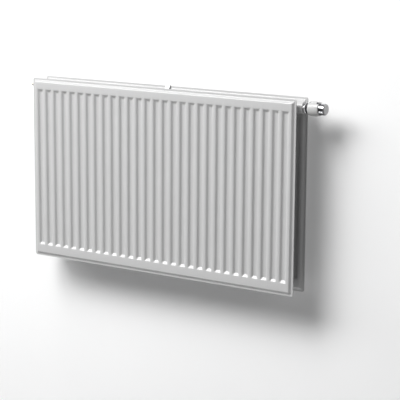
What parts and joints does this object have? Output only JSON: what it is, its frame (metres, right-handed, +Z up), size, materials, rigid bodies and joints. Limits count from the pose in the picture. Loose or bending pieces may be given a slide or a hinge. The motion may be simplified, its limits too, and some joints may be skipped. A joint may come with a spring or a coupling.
{
  "type": "panel radiator",
  "caption": "Double-panel pressed-steel water radiator with a fluted front, thermostatic valve head, air vent and wall brackets.",
  "frame": {"origin": "centre of the four wall fixings, on the wall plane", "axes": "+X along the radiator towards the valve head, +Z up, front face towards -Y"},
  "size_m": [1.116, 0.1185, 0.607],
  "materials": {
    "panel_paint": "semi-gloss white stoved enamel on pressed steel",
    "fitting_paint": "semi-gloss white enamel on welded fittings",
    "bracket_paint": "satin white powder coat",
    "nickel": "nickel-plated brass, bright",
    "nickel_seal": "black EPDM seal",
    "blank_cap": "white painted plug",
    "vent_plastic": "white acetal",
    "brass": "turned brass",
    "spring_steel": "drawn spring wire",
    "stainless": "turned stainless steel",
    "preset_plastic": "blue moulded plastic",
    "dark_plastic": "dark grey moulded plastic",
    "head_plastic": "white moulded plastic",
    "inner_plastic": "natural moulded plastic",
    "grip_chrome": "bright chrome plate",
    "cap_satin": "satin metallic finish",
    "capsule_metal": "spun brass capsule",
    "liner_plastic": "grey-white nylon",
    "nut_nickel": "nickel-plated union nut"
  },
  "bodies": {
    "radiator": {"front_panel_outer_sheet": "panel_paint", "front_panel_inner_sheet": "panel_paint", "rear_panel_inner_sheet": "panel_paint", "rear_panel_outer_sheet": "panel_paint", "valve_housing": "fitting_paint", "vent_tee": "fitting_paint", "blank_tee": "fitting_paint", "connection_block": "fitting_paint", "riser_pipe": "fitting_paint", "spacer_strap": "panel_paint", "lower_strap": "panel_paint", "upper_lugs": "panel_paint", "lower_lugs": "panel_paint", "blank_plug": "blank_cap", "drain_plug": "blank_cap", "blank_plug_seal": "nickel_seal", "drain_plug_seal": "nickel_seal", "vent_plug_seal": "nickel_seal", "valve_insert_seal": "nickel_seal", "vent_plug": "nickel", "valve_insert": "brass", "return_spring": "spring_steel", "union_nut": "nut_nickel", "adapter_sleeve": "dark_plastic", "head_shell": "head_plastic", "setting_pointer": "dark_plastic", "bracket_left": "bracket_paint", "bracket_right": "bracket_paint", "upper_hook_liners": "liner_plastic", "lower_hook_liners": "liner_plastic"},
    "head_grip": {"grip_core": "inner_plastic", "grip_ring": "grip_chrome", "end_cap": "cap_satin"},
    "sensor": {"sensor_carrier": "inner_plastic", "sensor_capsule": "capsule_metal", "carrier_lid": "inner_plastic", "push_rod": "inner_plastic", "overtravel_spring": "spring_steel"},
    "spindle": {"valve_spindle": "stainless", "valve_disc": "nickel_seal"},
    "preset": {"preset_ring": "preset_plastic"},
    "vent_needle": {"vent_screw": "nickel"},
    "vent_nozzle": {"vent_spout": "vent_plastic"}
  },
  "joints": [
    {"name": "grip_turn", "type": "hinge", "parent": "radiator", "child": "head_grip", "pos_m": [0.57, -0.07625, 0.273], "axis": [1, 0, 0], "range_deg": [0, 290]},
    {"name": "sensor_slide", "type": "slide", "parent": "radiator", "child": "sensor", "axis": [1, 0, 0], "range_m": [0, 0.00205]},
    {"name": "spindle_slide", "type": "slide", "parent": "radiator", "child": "spindle", "axis": [1, 0, 0], "range_m": [0, 0.00205]},
    {"name": "preset_turn", "type": "hinge", "parent": "radiator", "child": "preset", "pos_m": [0.516, -0.07625, 0.273], "axis": [1, 0, 0], "range_deg": [0, 315]},
    {"name": "bleed_turn", "type": "hinge", "parent": "radiator", "child": "vent_needle", "pos_m": [-0.52, -0.07625, 0.273], "axis": [-1, 0, 0], "range_deg": [0, 360]},
    {"name": "spout_swivel", "type": "hinge", "parent": "radiator", "child": "vent_nozzle", "pos_m": [-0.52, -0.07625, 0.273], "axis": [1, 0, 0], "continuous": true}
  ],
  "couplings": [
    {"joint": "sensor_slide", "follows": "grip_turn", "m_per_rad": 0.0004},
    {"joint": "spindle_slide", "follows": "grip_turn", "m_per_rad": 0.0004}
  ]
}
